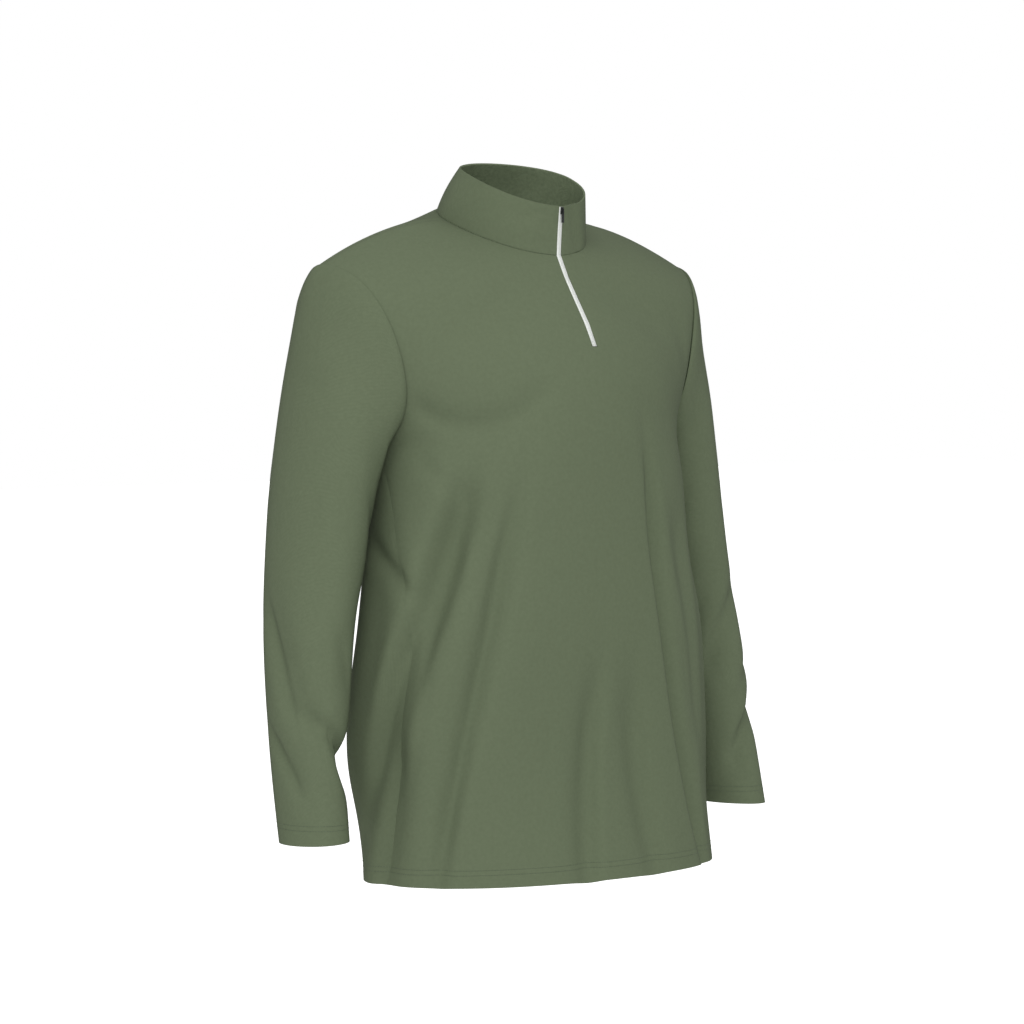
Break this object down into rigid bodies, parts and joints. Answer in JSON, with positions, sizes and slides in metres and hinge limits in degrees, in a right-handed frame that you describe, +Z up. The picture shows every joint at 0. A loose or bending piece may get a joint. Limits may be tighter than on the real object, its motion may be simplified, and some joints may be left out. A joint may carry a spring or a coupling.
{
  "type": "long sleeve quarter-zip sports jersey, worn",
  "caption": "Long-sleeved stand-collar knit sports top with a short front zip, in its worn hollow shape with arms hanging.",
  "frame": {"origin": "the middle of the neck, level with the neck ends of the shoulder seams, where the wearer holds the top up", "axes": "+Z up, the front faces -Y, the wearer's left is +X"},
  "size_m": [0.635, 0.2947, 0.752],
  "materials": {
    "jersey": "matt fine-gauge knit",
    "zip_tape": "matt woven tape with a nylon coil",
    "dark_metal": "satin black enamel on zinc"
  },
  "bodies": {
    "garment": {"front": "jersey", "back": "jersey", "sleeve_left": "jersey", "sleeve_right": "jersey", "collar": "jersey", "zip_tape": "zip_tape", "zip_slider": "dark_metal"},
    "pull": {"zip_pull": "dark_metal"}
  },
  "joints": [
    {"name": "pull_hinge", "type": "hinge", "parent": "garment", "child": "pull", "pos_m": [0, -0.06764, -0.00283], "axis": [-1, 0, 0], "range_deg": [0, 165]}
  ]
}
